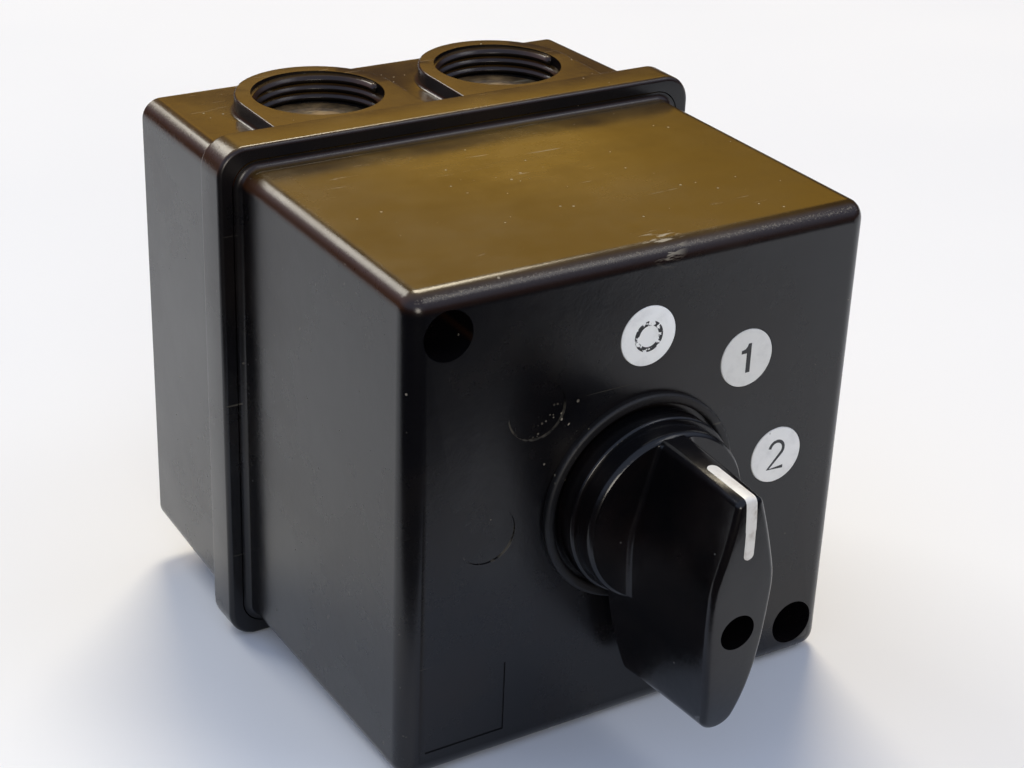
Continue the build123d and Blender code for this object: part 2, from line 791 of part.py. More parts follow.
def detent_springs():
    """Two leaf springs across the chamber, each with a round nose in a notch of the star wheel."""
    middle = detent_start + star_start + star_thickness / 2
    reach = (detent_chamber_radius ** 2 - spring_height ** 2) ** 0.5 + spring_slot_depth
    nose_radius = star_notch_radius - nose_clearance
    inner = spring_height
    leaf = Pos(0, inner + spring_thickness / 2) * Rectangle(2 * reach, spring_thickness)
    nose = Pos(0, star_tip_radius) * (Circle(nose_radius) - Circle(nose_radius - spring_thickness))
    neck = Pos(0, inner + nose_opening / 2) * Rectangle(2 * (nose_radius + cut_overrun), nose_opening)
    spring = slab(leaf + (nose - neck) + nose_sides(nose_radius), middle - spring_width / 2,
                  middle + spring_width / 2)
    return Compound([Rot(0, angle, 0) * spring for angle in (0, 180)])


def nose_sides(nose_radius):
    """The straight stretches between the leaf and its nose."""
    tall = spring_height - star_tip_radius + spring_thickness
    bar = Rectangle(spring_thickness, tall)
    place = nose_radius - spring_thickness / 2
    return join(Sketch(), [Pos(side * place, star_tip_radius + tall / 2) * bar for side in (-1, 1)])


def front_plate():
    """Steel end plate with a curved slot whose two ends stop the wheel's pin at 0 and at 2."""
    slot_half = stop_pin_radius + stop_clearance
    plate = octagon() - Circle(star_hub_radius + plate_bore_clearance)
    plate = cut(plate, [place * Circle(tie_radius + tie_hole_clearance) for place in tie_places()])
    path = ThreePointArc(*[tuple(polar(stop_circle, stop_start_angle + turn).position)[:2]
                           for turn in (0, travel / 2, travel)])
    plate -= SlotArc(path, 2 * slot_half)
    return slab(plate, front_plate_depth, stack_front)


def tie_bolts():
    """Two long screws through the whole stack, their heads behind the rear plate."""
    shank = slab(Circle(tie_radius), plate_depth, stack_front + tie_nut_height + tie_tail)
    head = slab(RegularPolygon(tie_nut_width / 2, 6, major_radius=False), plate_depth - tie_head_height,
                plate_depth)
    bolt = head + shank
    return at_places(tie_places(), bolt)


def tie_nuts():
    nut = RegularPolygon(tie_nut_width / 2, 6, major_radius=False) - Circle(tie_radius)
    solid = slab(nut, stack_front, stack_front + tie_nut_height)
    return at_places(tie_places(), solid)


def earth_terminal():
    """Brass block for the earth wire on its pad on the base's floor."""
    block = slab(Pos(0, earth_z) * Rectangle(earth_width, earth_height), earth_pad_height,
                 earth_pad_height + earth_depth)
    top = earth_pad_height + earth_depth
    return block - slab(Pos(0, earth_z) * Circle(terminal_screw_radius), top - earth_screw_depth, top)


def earth_screw():
    """The screw that clamps the earth wire on the block's front."""
    screw = slotted_screw(earth_pad_height + earth_depth, earth_head_radius, terminal_head_height,
                          terminal_screw_radius, earth_screw_depth)
    return Pos(0, 0, earth_z) * screw


def all_nodes():
    nodes = {"base": base(), "gasket": gasket(), "cover": cover(), "cover_screws": cover_screws(),
             "cover_inserts": cover_inserts(), "shaft_bush": shaft_bush(), "shaft_washer": shaft_washer(),
             "knob": knob(), "knob_pointer": knob_pointer(), "knob_screw": knob_screw(), "driver": driver(),
             "shaft": shaft(), "shaft_clip": shaft_clip(), "rear_plate": rear_plate(),
             "mounting_screws": mounting_screws(), "terminal_screws": terminal_screws(),
             "detent_housing": detent_housing(), "star_wheel": star_wheel(),
             "detent_springs": detent_springs(), "front_plate": front_plate(), "tie_bolts": tie_bolts(),
             "tie_nuts": tie_nuts(), "earth_terminal": earth_terminal(), "earth_screw": earth_screw()}
    for index in range(label_count):
        nodes[f"label_{index}"] = label(index)
    for index in range(deck_count):
        nodes[f"deck_{index + 1}"] = deck(index)
        nodes[f"rotor_{index + 1}"] = rotor(index)
        nodes[f"blade_{index + 1}"] = blade(index)
        for name in jaw_angles:
            nodes[f"contact_{index + 1}_{name}"] = fixed_contact(index, name)
    return nodes


os.makedirs("parts", exist_ok=True)
for node, shape in all_nodes().items():
    shape.label = node
    export_step(shape, f"parts/{node}.step")
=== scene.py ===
import bpy, bmesh, json, math
from mathutils import Matrix, Vector
from mathutils.bvhtree import BVHTree

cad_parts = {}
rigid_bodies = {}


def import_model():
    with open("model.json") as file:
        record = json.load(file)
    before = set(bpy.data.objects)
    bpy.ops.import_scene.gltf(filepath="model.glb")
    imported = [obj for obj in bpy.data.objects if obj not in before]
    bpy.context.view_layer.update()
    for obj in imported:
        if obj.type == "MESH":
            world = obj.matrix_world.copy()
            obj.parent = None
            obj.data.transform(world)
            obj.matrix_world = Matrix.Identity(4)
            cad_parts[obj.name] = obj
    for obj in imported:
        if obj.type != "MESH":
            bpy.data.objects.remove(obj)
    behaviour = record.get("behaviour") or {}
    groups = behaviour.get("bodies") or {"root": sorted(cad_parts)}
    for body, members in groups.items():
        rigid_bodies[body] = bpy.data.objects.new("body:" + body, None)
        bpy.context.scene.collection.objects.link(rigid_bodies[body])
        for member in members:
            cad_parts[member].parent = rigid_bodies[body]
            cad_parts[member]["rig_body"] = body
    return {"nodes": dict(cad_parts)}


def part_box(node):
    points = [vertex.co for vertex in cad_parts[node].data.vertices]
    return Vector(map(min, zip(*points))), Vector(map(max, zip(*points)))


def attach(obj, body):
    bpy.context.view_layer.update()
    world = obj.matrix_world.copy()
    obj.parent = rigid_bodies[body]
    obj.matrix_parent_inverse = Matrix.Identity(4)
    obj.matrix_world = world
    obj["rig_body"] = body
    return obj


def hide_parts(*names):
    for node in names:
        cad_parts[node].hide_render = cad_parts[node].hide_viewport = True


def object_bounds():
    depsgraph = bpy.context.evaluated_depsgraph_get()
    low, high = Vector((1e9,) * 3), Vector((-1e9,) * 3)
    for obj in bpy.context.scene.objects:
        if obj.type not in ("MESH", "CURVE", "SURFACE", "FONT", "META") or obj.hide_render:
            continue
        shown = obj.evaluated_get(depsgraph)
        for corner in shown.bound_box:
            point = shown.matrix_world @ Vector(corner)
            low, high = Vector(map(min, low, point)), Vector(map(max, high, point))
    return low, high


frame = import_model()
nodes = frame["nodes"]
cad_low, cad_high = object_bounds()

# The case: a deep cover on a rimmed base, both compression-moulded from a dark thermoset.
# The top has faded to a brownish olive, with a golden reflection painted over it, and carries
# fine scuffs along its width, the other faces stay nearly black, and the front's upper edge is rubbed
# and carries a painted highlight.

merge_distance = 1e-6


def linked(name, data):
    """An object for a mesh, a lamp or the camera, in the scene's own collection."""
    piece = bpy.data.objects.new(name, data)
    bpy.context.scene.collection.objects.link(piece)
    return piece


def shell_piece(name, shell):
    """An object from a finished bmesh, which is freed."""
    mesh = bpy.data.meshes.new(name)
    shell.to_mesh(mesh)
    shell.free()
    return linked(name, mesh)


def smooth_copy(name, angle=32, reshape=None):
    """A merged copy of a CAD node with soft shading over its rounds, standing for that node."""
    source = nodes[name]
    mesh = source.data.copy()
    shell = bmesh.new()
    shell.from_mesh(mesh)
    bmesh.ops.remove_doubles(shell, verts=shell.verts, dist=merge_distance)
    if reshape:
        reshape(shell)
        bmesh.ops.remove_doubles(shell, verts=shell.verts, dist=merge_distance)
    for face in shell.faces:
        face.smooth = True
    for edge in shell.edges:
        if len(edge.link_faces) != 2 or edge.calc_face_angle(0) > math.radians(angle):
            edge.smooth = False
    shell.to_mesh(mesh)
    shell.free()
    piece = linked(name + "_form", mesh)
    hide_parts(name)
    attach(piece, source["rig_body"])
    return piece


def dress(piece, material):
    """Gives a piece its one material."""
    piece.data.materials.clear()
    piece.data.materials.append(material)


def new_material(name):
    """A material with its node tree, its shader and the piece's own coordinates."""
    material = bpy.data.materials.new(name)
    material.use_nodes = True
    tree = material.node_tree
    place = tree.nodes.new("ShaderNodeTexCoord")
    return material, tree, tree.nodes["Principled BSDF"], place


def noise(tree, place, scale, detail=4.0, rough=0.5, stretch=(1, 1, 1), turn=(0, 0, 0)):
    """Noise on the piece's coordinates, stretched and turned for streaks and scuffs."""
    mapping = tree.nodes.new("ShaderNodeMapping")
    mapping.inputs["Scale"].default_value = stretch
    mapping.inputs["Rotation"].default_value = turn
    texture = tree.nodes.new("ShaderNodeTexNoise")
    texture.inputs["Scale"].default_value = scale
    texture.inputs["Detail"].default_value = detail
    texture.inputs["Roughness"].default_value = rough
    tree.links.new(place.outputs["Object"], mapping.inputs["Vector"])
    tree.links.new(mapping.outputs["Vector"], texture.inputs["Vector"])
    return texture.outputs["Fac"]


def ramp(tree, value, low, high, from_value=0.0, to_value=1.0):
    """Value taken from low to high onto a new range, held at both ends."""
    node = tree.nodes.new("ShaderNodeMapRange")
    node.interpolation_type = "SMOOTHSTEP"
    node.inputs["From Min"].default_value = low
    node.inputs["From Max"].default_value = high
    node.inputs["To Min"].default_value = from_value
    node.inputs["To Max"].default_value = to_value
    tree.links.new(value, node.inputs["Value"])
    return node.outputs["Result"]


def maths(tree, operation, *values):
    """Arithmetic over two or more sockets or numbers, one step after the other."""
    result = values[0]
    for value in values[1:]:
        node = tree.nodes.new("ShaderNodeMath")
        node.operation = operation
        for socket, term in zip(node.inputs, (result, value)):
            if isinstance(term, (int, float)):
                socket.default_value = term
            else:
                tree.links.new(term, socket)
        result = node.outputs["Value"]
    return result


def times(tree, *values):
    return maths(tree, "MULTIPLY", *values)


def blend_colour(tree, factor, first, second):
    """Mixes two colours, each a socket or a triple, by a factor."""
    node = tree.nodes.new("ShaderNodeMix")
    node.data_type = "RGBA"
    tree.links.new(factor, node.inputs["Factor"])
    for socket, value in ((node.inputs["A"], first), (node.inputs["B"], second)):
        if isinstance(value, tuple):
            socket.default_value = (*value, 1.0)
        else:
            tree.links.new(value, socket)
    return node.outputs["Result"]


def axes_of(tree, vector):
    """The X, Y and Z sockets of a vector."""
    node = tree.nodes.new("ShaderNodeSeparateXYZ")
    tree.links.new(vector, node.inputs["Vector"])
    return node.outputs


def distance_from(tree, place, point):
    """How far a place on the piece lies from a point of the switch."""
    node = tree.nodes.new("ShaderNodeVectorMath")
    node.operation = "DISTANCE"
    node.inputs[1].default_value = point
    tree.links.new(place.outputs["Object"], node.inputs[0])
    return node.outputs["Value"]


def specks(tree, place, scale, size, keep):
    """Scattered dots of uneven size, as dust and nicks: cells whose random value passes keep."""
    cells = tree.nodes.new("ShaderNodeTexVoronoi")
    cells.inputs["Scale"].default_value = scale
    tree.links.new(place.outputs["Object"], cells.inputs["Vector"])
    split = tree.nodes.new("ShaderNodeSeparateColor")
    tree.links.new(cells.outputs["Color"], split.inputs["Color"])
    own_size = times(tree, maths(tree, "POWER", split.outputs["Green"], 2.0), size)
    near = maths(tree, "LESS_THAN", cells.outputs["Distance"], own_size)
    chosen = maths(tree, "GREATER_THAN", split.outputs["Red"], keep)
    return times(tree, near, chosen)


def relief(tree, shader, height, distance):
    """Lets a height stand out of the surface by up to a distance."""
    bump = tree.nodes.new("ShaderNodeBump")
    bump.inputs["Distance"].default_value = distance
    bump.inputs["Strength"].default_value = 1.0
    tree.links.new(height, bump.inputs["Height"])
    tree.links.new(bump.outputs["Normal"], shader.inputs["Normal"])


front_plane = -0.0918
fade_and_reflection_spot = (0.003, -0.042, 0.0405)
fade_and_reflection_reach = (0.012, 0.038)
cover_back = (-0.030, -0.042)
outer_top_rise = (0.0325, 0.0345)
front_edge_rise = (0.0397, 0.0403)
front_edge_depth = (-0.0903, -0.0909)
collar_start = (-0.0919, -0.0921)
handled_spot = (-0.0125, front_plane, 0.0128)
handled_reach = (0.0085, 0.003)
chip_spot = (0.003, -0.0897, 0.0407)
chip_reach = (0.0042, 0.0016)
blank_centres = ((-0.0191, -0.0917, 0.0191), (-0.027, -0.0917, 0.0))
blank_radius = 0.0049
# Reach and side of the painted highlight on the unused disc seats' rims.
seat_highlight_inside = (0.0046, 0.00482)
seat_highlight_outside = (0.00506, 0.00492)
seat_highlight_low_side = (0.001, -0.002)


def faded_top_and_reflection(tree, place, spot, clouds):
    """Olive brown, faded in clouds and streaks, with a painted golden reflection that is brightest at a
    spot on the cover's back and darkens away from it; the base's top takes less of it.
    """
    faded_with_reflection = (0.117, 0.064, 0.005)
    less_faded_with_reflection = (0.034, 0.019, 0.006)
    base_brown = (0.050, 0.026, 0.013)
    streaks = noise(tree, place, 130.0, 5.0, 0.65, stretch=(0.3, 1.6, 1.0), turn=(0, 0, 0.08))
    fade = maths(tree, "ADD", times(tree, clouds, 0.8), times(tree, streaks, 0.22))
    colour = blend_colour(tree, ramp(tree, fade, 0.33, 0.66), less_faded_with_reflection, faded_with_reflection)
    colour = blend_colour(tree, ramp(tree, spot["Y"], *cover_back, 0.4, 1.0), base_brown, colour)
    # Painted reflection fall-off: the top turns a darker brown away from a spot on the cover's back.
    from_spot = ramp(tree, distance_from(tree, place, fade_and_reflection_spot), *fade_and_reflection_reach, 0.0, 0.72)
    on_cover = ramp(tree, spot["Y"], *cover_back)
    return blend_colour(tree, times(tree, from_spot, on_cover), colour, less_faded_with_reflection)


def damaged_and_highlit_front(tree, place, spot):
    """Nicks beside the knob, a chip on the upper edge, and a painted highlight along the lower rim of
    each unused disc seat.
    """
    handled = ramp(tree, distance_from(tree, place, handled_spot), *handled_reach)
    nicks_and_highlights = times(tree, specks(tree, place, 1500.0, 0.5, 0.66), handled)
    flakes = noise(tree, place, 700.0, 3.0, 0.6, stretch=(0.3, 1.6, 1.6), turn=(0, 0, 0.5))
    by_chip = ramp(tree, distance_from(tree, place, chip_spot), *chip_reach)
    chip = times(tree, by_chip, ramp(tree, flakes, 0.52, 0.6), 0.8)
    nicks_and_highlights = maths(tree, "MAXIMUM", nicks_and_highlights, chip)
    broken = ramp(tree, noise(tree, place, 420.0, 2.0, 0.6), 0.42, 0.6)
    # Painted highlight: a broken light line on the lower side of each unused seat's rim.
    for centre in blank_centres:
        away = distance_from(tree, place, centre)
        on_rim = times(tree, ramp(tree, away, *seat_highlight_inside), ramp(tree, away, *seat_highlight_outside))
        low_side = ramp(tree, spot["Z"], *(centre[2] + rise for rise in seat_highlight_low_side))
        nicks_and_highlights = maths(tree, "MAXIMUM", nicks_and_highlights, times(tree, on_rim, low_side, broken, 0.22))
    return nicks_and_highlights


def moulded_case():
    """Dark thermoset: faded top with a painted golden reflection, reddish rounds, scuffs, dust, a rubbed
    front edge with a painted highlight, and painted highlights on the disc seats.
    """
    black = (0.0030, 0.0029, 0.0037)
    brown = (0.0060, 0.0040, 0.0036)
    reddish = (0.048, 0.017, 0.006)
    dust_and_highlight = (0.42, 0.37, 0.28)
    material, tree, shader, place = new_material("case_moulding")
    facing = axes_of(tree, place.outputs["Normal"])
    spot = axes_of(tree, place.outputs["Object"])
    clouds = noise(tree, place, 34.0, 6.0, 0.66)

    outer_top = ramp(tree, spot["Z"], *outer_top_rise)
    upward = times(tree, ramp(tree, facing["Z"], 0.6, 0.98), outer_top)
    not_forward = ramp(tree, facing["Y"], -0.6, -0.1, 0.3, 1.0)
    rounded = times(tree, ramp(tree, facing["Z"], 0.03, 0.35), outer_top, not_forward)
    body = blend_colour(tree, ramp(tree, clouds, 0.42, 0.7), black, brown)
    body = blend_colour(tree, rounded, body, reddish)
    # Upward faces of the outer top take the faded olive, which also holds a painted golden reflection.
    body = blend_colour(tree, upward, body, faded_top_and_reflection(tree, place, spot, clouds))

    dots = specks(tree, place, 420.0, 0.13, 0.94)
    top_dots = times(tree, specks(tree, place, 1100.0, 0.26, 0.93), upward)
    all_dots = maths(tree, "MAXIMUM", dots, top_dots)
    hairs = noise(tree, place, 90.0, 2.0, 0.5, stretch=(0.1, 9.0, 9.0), turn=(0.1, 0.2, 0.3))
    hair = times(tree, ramp(tree, hairs, 0.735, 0.76), 0.5)
    rubs = noise(tree, place, 420.0, 3.0, 0.6, stretch=(0.16, 1.8, 1.0), turn=(0, 0, 0.2))
    scuffs = times(tree, ramp(tree, rubs, 0.66, 0.74), ramp(tree, clouds, 0.46, 0.6), upward)
    # Front upper edge: rubbed wear with a painted highlight, a light grain along its round.
    edge_high = ramp(tree, spot["Z"], *front_edge_rise)
    edge_front = ramp(tree, spot["Y"], *front_edge_depth)
    grain = noise(tree, place, 3400.0, 3.0, 0.75, stretch=(0.7, 1, 1))
    rubbed_and_highlit = times(tree, edge_high, edge_front, ramp(tree, grain, 0.5, 0.66))
    nicks_and_highlights = damaged_and_highlit_front(tree, place, spot)
    marks = maths(tree, "MAXIMUM", times(tree, all_dots, 0.5), times(tree, rubbed_and_highlit, 0.4),
                  times(tree, nicks_and_highlights, 0.8), times(tree, scuffs, 0.35), times(tree, hair, 0.25))
    # The dust colour paints dust, scuffs and nicks, and also the painted highlights on the front edge
    # and the disc seats.
    tree.links.new(blend_colour(tree, marks, body, dust_and_highlight), shader.inputs["Base Color"])

    dull = ramp(tree, clouds, 0.3, 0.75, 0.22, 0.33)
    dull = maths(tree, "SUBTRACT", dull, times(tree, upward, 0.03))
    collar = ramp(tree, spot["Y"], *collar_start, 0.0, 0.24)
    dull = maths(tree, "ADD", dull, times(tree, marks, 0.5), collar)
    tree.links.new(dull, shader.inputs["Roughness"])
    shader.inputs["IOR"].default_value = 1.47

    peel = noise(tree, place, 320.0, 3.0, 0.5)
    fine_grain = noise(tree, place, 1700.0, 2.0, 0.6)
    height = maths(tree, "ADD", times(tree, peel, 0.5), times(tree, hair, -0.8),
                   times(tree, fine_grain, 0.2), times(tree, all_dots, 0.3))
    relief(tree, shader, height, 0.00004)
    return material


mark_floor = -0.0916
dial_radius = 0.027
dial_step = math.radians(45)
levelled_marks = (3, 4, 5)
sunk_marks = (6, 7)
frame_mark = (-0.0298, -0.0302)
frame_half = (0.0070, 0.0063)
half_line = 0.000125
touching = 1e-5


def sink_marks(shell):
    """Turns the cover's marks from lines into shallow sinkings: two blanks and a low square."""
    to_floor, to_front = [], []
    for index in levelled_marks + sunk_marks:
        angle = dial_step * index
        centre = Vector((dial_radius * math.sin(angle), dial_radius * math.cos(angle)))
        for vertex in shell.verts:
            off = (Vector((vertex.co.x, vertex.co.z)) - centre).length
            if off >= blank_radius + touching or vertex.co.y >= mark_floor + touching:
                continue
            on_front = vertex.co.y < front_plane + touching
            if index in levelled_marks and vertex.co.y > mark_floor - touching:
                to_front.append(vertex)
            elif index in sunk_marks and off < blank_radius - half_line and on_front:
                to_floor.append(vertex)
    for vertex in shell.verts:
        aside = abs(vertex.co.x - frame_mark[0]) < frame_half[0] - half_line
        level = abs(vertex.co.z - frame_mark[1]) < frame_half[1] - half_line
        if aside and level and vertex.co.y < front_plane + touching:
            to_floor.append(vertex)
    for vertex in to_floor:
        vertex.co.y = mark_floor
    for vertex in to_front:
        vertex.co.y = front_plane


case_moulding = moulded_case()
cover = smooth_copy("cover", reshape=sink_marks)
base = smooth_copy("base")
dress(cover, case_moulding)
dress(base, case_moulding)

# Cable entries: each boss on the base's top is tapped for a screwed gland, and a thin skin
# still closes it, grooved where it is to be knocked out. The turns of the thread stand in
# from the bore's wall as soft ridges and end above the skin.

entry_radius = 0.01125
entry_top = cad_high[2] - 0.0005
entry_spots = (("left", -0.0176, -0.0176), ("right", 0.0176, -0.0176))
thread_turns = 3
thread_steps = 48
thread_pitch = 0.0016
thread_height = 0.00085
thread_start = 0.0011
skin_depth = 0.0058
skin_thickness = 0.0009
skin_bulge = 0.0003
bulge_radius = 0.002
skin_edge = entry_radius + 0.0001
groove_radius = 0.0078
groove_half = 0.0006
groove_depth = 0.0004


def entry_thread(name, x, y):
    """A rounded ridge wound down the bore's wall, both ends running out into it."""
    helix = bmesh.new()
    profile = ((0.0002, -0.62), (-0.35, -0.3), (-1.0, -0.08), (-1.0, 0.08), (-0.35, 0.3), (0.0002, 0.62))
    ring = [helix.verts.new((entry_radius + out * thread_height, 0, rise * thread_pitch))
            for out, rise in profile]
    rim = [helix.edges.new(pair) for pair in zip(ring, ring[1:] + ring[:1])]
    bmesh.ops.spin(helix, geom=ring + rim, cent=(0, 0, 0), axis=(0, 0, 1),
                   angle=thread_turns * 2 * math.pi, steps=thread_turns * thread_steps,
                   dvec=(0, 0, -thread_pitch / thread_steps), use_merge=False)
    bmesh.ops.holes_fill(helix, edges=helix.edges)
    bmesh.ops.translate(helix, verts=helix.verts, vec=(x, y, entry_top - thread_start))
    bmesh.ops.recalc_face_normals(helix, faces=helix.faces)
    for face in helix.faces:
        face.smooth = True
    piece = shell_piece(name, helix)
    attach(piece, "case")
    dress(piece, case_moulding)


def dusty_web():
    """The case's own brown under settled dust, with a few scores."""
    brown = (0.07, 0.042, 0.018)
    dusty = (0.30, 0.19, 0.08)
    scored = (0.42, 0.34, 0.22)
    material, tree, shader, place = new_material("dusty_web")
    clouds = noise(tree, place, 260.0, 5.0, 0.65)
    colour = blend_colour(tree, ramp(tree, clouds, 0.35, 0.7), brown, dusty)
    scores = noise(tree, place, 300.0, 2.0, 0.5, stretch=(0.3, 2.2, 1), turn=(0, 0, 0.6))
    scores = times(tree, ramp(tree, scores, 0.66, 0.7), 0.6)
    tree.links.new(blend_colour(tree, scores, colour, scored), shader.inputs["Base Color"])
    tree.links.new(ramp(tree, clouds, 0.3, 0.7, 0.45, 0.7), shader.inputs["Roughness"])
    relief(tree, shader, clouds, 0.00008)
    return material


web_material = dusty_web()


def entry_skin(name, x, y):
    """A thin round web across the bore, with a groove round its knock-out part."""
    web = bmesh.new()
    top = entry_top - skin_depth
    profile = ((0, top - skin_thickness), (skin_edge, top - skin_thickness), (skin_edge, top),
               (groove_radius + groove_half, top), (groove_radius, top - groove_depth),
               (groove_radius - groove_half, top), (bulge_radius, top + skin_bulge),
               (0, top + skin_bulge))
    line = [web.verts.new((out, 0, rise)) for out, rise in profile]
    edges = [web.edges.new(pair) for pair in zip(line, line[1:])]
    bmesh.ops.spin(web, geom=line + edges, cent=(0, 0, 0), axis=(0, 0, 1), angle=2 * math.pi,
                   steps=64, use_merge=True)
    bmesh.ops.remove_doubles(web, verts=web.verts, dist=merge_distance)
    bmesh.ops.translate(web, verts=web.verts, vec=(x, y, 0))
    bmesh.ops.recalc_face_normals(web, faces=web.faces)
    piece = shell_piece(name, web)
    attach(piece, "case")
    dress(piece, web_material)


for side, x, y in entry_spots:
    entry_thread("entry_thread_" + side, x, y)
    entry_skin("entry_skin_" + side, x, y)

# Knob: skirt, hub and long grip in one black moulding, polished by hands at its edges.
# It is a shade blacker and glossier than the case.


def polished_knob():
    """Near-black thermoset with a fine polish, faint handling marks and a few specks."""
    black = (0.0025, 0.0024, 0.003)
    warm = (0.0055, 0.0035, 0.0035)
    speck = (0.4, 0.38, 0.36)
    material, tree, shader, place = new_material("knob_moulding")
    clouds = noise(tree, place, 60.0, 5.0, 0.6)
    dots = specks(tree, place, 700.0, 0.13, 0.97)
    body = blend_colour(tree, ramp(tree, clouds, 0.4, 0.7), black, warm)
    colour = blend_colour(tree, times(tree, dots, 0.5), body, speck)
    tree.links.new(colour, shader.inputs["Base Color"])
    gloss = ramp(tree, clouds, 0.3, 0.75, 0.16, 0.28)
    tree.links.new(maths(tree, "ADD", gloss, times(tree, dots, 0.4)), shader.inputs["Roughness"])
    shader.inputs["IOR"].default_value = 1.46
    peel = maths(tree, "ADD", noise(tree, place, 420.0, 3.0, 0.5), times(tree, dots, 0.8))
    relief(tree, shader, peel, 0.00004)
    return material


knob = smooth_copy("knob", 25)
dress(knob, polished_knob())

# Pointer: a white filling pressed into the grip's groove. It bends over the edge from the
# head onto the front and has yellowed a little where fingers touch it.


def white_filling():
    """White paint, greyed and yellowed in small patches."""
    white = (0.80, 0.77, 0.71)
    yellowed = (0.58, 0.53, 0.46)
    material, tree, shader, place = new_material("pointer_filling")
    clouds = noise(tree, place, 500.0, 4.0, 0.6)
    colour = blend_colour(tree, ramp(tree, clouds, 0.45, 0.75), white, yellowed)
    tree.links.new(colour, shader.inputs["Base Color"])
    tree.links.new(ramp(tree, clouds, 0.3, 0.7, 0.35, 0.6), shader.inputs["Roughness"])
    relief(tree, shader, clouds, 0.00005)
    return material


pointer = smooth_copy("knob_pointer")
filling = white_filling()
dress(pointer, filling)
filling_low = 0.0032
filling_high = 0.0122
filling_half = 0.00088
filling_tip_half = 0.00012
filling_proud = 0.000012
filling_depth = 0.0003
before_grip = -0.13


def filling_front():
    """The filling's long front part on the grip's crowned face, with a round lower end."""
    under = bmesh.new()
    under.from_mesh(knob.data)
    under.from_mesh(pointer.data)
    grip_face = BVHTree.FromBMesh(under)
    under.free()
    film = bmesh.new()
    bmesh.ops.create_grid(film, x_segments=6, y_segments=48, size=0.5)
    for vertex in film.verts:
        above = (vertex.co.y + 0.5) * (filling_high - filling_low)
        inset = max(filling_half - above, 0)
        half = max(math.sqrt(filling_half ** 2 - inset ** 2), filling_tip_half)
        across, rise = 2 * vertex.co.x * half, filling_low + above
        met = grip_face.ray_cast(Vector((across, before_grip, rise)), Vector((0, 1, 0)))[0]
        vertex.co = (across, met.y - filling_proud, rise)
    back = bmesh.ops.extrude_face_region(film, geom=list(film.faces))
    back_verts = [part for part in back["geom"] if isinstance(part, bmesh.types.BMVert)]
    bmesh.ops.translate(film, verts=back_verts, vec=(0, filling_depth, 0))
    bmesh.ops.recalc_face_normals(film, faces=film.faces)
    piece = shell_piece("knob_pointer_front", film)
    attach(piece, "rotor")
    dress(piece, filling)


filling_front()

# Dial discs: three white plastic discs pressed into the cover, each with a printed number.
# The 0 is worn down to a broken ring, the 1 is heavy and the 2 is thin.

label_names = ("label_0", "label_1", "label_2")
# One white per disc, as painted light and shade on the same plastic: the 0 is painted lighter, the 1 and
# the 2 darker.
disc_lit_and_shaded_whites = ((0.98, 0.98, 0.95), (0.76, 0.75, 0.71), (0.81, 0.80, 0.77))
greyed = 0.84
print_thickness = 0.00003


def disc_plastic(name, white):
    """White plastic, greyed in patches and flecked with dirt."""
    dirt = (0.2, 0.19, 0.18)
    material, tree, shader, place = new_material(name)
    clouds = noise(tree, place, 350.0, 5.0, 0.6)
    grey = tuple(greyed * part for part in white)
    colour = blend_colour(tree, ramp(tree, clouds, 0.45, 0.85), white, grey)
    dots = specks(tree, place, 1500.0, 0.3, 0.95)
    colour = blend_colour(tree, times(tree, dots, 0.5), colour, dirt)
    tree.links.new(colour, shader.inputs["Base Color"])
    tree.links.new(ramp(tree, clouds, 0.3, 0.7, 0.3, 0.5), shader.inputs["Roughness"])
    relief(tree, shader, clouds, 0.00003)
    return material


def printed_ink(name, wear):
    """Dark print; where wear is high, patches of the disc's white show through."""
    ink = (0.015, 0.015, 0.017)
    material, tree, shader, place = new_material(name)
    patches = ramp(tree, noise(tree, place, 1300.0, 3.0, 0.6), 0.60 - wear, 0.66 - wear)
    tree.links.new(blend_colour(tree, patches, ink, disc_lit_and_shaded_whites[0]), shader.inputs["Base Color"])
    tree.links.new(ramp(tree, patches, 0, 1, 0.35, 0.5), shader.inputs["Roughness"])
    return material


for name, white in zip(label_names, disc_lit_and_shaded_whites):
    dress(smooth_copy(name), disc_plastic("disc_plastic_" + name[-1], white))


def flat_film(name, outline, index, material):
    """A thin film on its disc, from faces drawn in the disc's plane, X across and Y up."""
    low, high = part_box(label_names[index])
    disc_middle = (Vector(low) + Vector(high)) / 2
    upright = Matrix.Rotation(math.radians(90), 3, "X")
    back = bmesh.ops.extrude_face_region(outline, geom=list(outline.faces))
    back_verts = [part for part in back["geom"] if isinstance(part, bmesh.types.BMVert)]
    bmesh.ops.translate(outline, verts=back_verts, vec=(0, 0, print_thickness))
    bmesh.ops.rotate(outline, verts=outline.verts, cent=(0, 0, 0), matrix=upright)
    bmesh.ops.translate(outline, verts=outline.verts, vec=(disc_middle.x, low[1], disc_middle.z))
    bmesh.ops.recalc_face_normals(outline, faces=outline.faces)
    piece = shell_piece(name, outline)
    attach(piece, "case")
    dress(piece, material)


def stroke(points, width, closed=False):
    """A band of even width along a path, as the stroke of a thin figure."""
    band = bmesh.new()
    pairs = []
    count = len(points)
    for i, point in enumerate(points):
        before = points[i - 1] if i or closed else points[i]
        after = points[(i + 1) % count] if i < count - 1 or closed else points[i]
        along = (Vector(after) - Vector(before)).normalized()
        aside = Vector((-along.y, along.x)) * width / 2
        pairs.append([band.verts.new((*(Vector(point) + side * aside), 0)) for side in (1, -1)])
    for first, second in zip(pairs, pairs[1:] + (pairs[:1] if closed else [])):
        band.faces.new((first[0], first[1], second[1], second[0]))
    return band


def arc_points(centre, radius, start, end, steps):
    """Points on an arc from one angle to another, in degrees."""
    angles = [math.radians(start + (end - start) * i / steps) for i in range(steps + 1)]
    return [(centre[0] + radius * math.cos(a), centre[1] + radius * math.sin(a)) for a in angles]


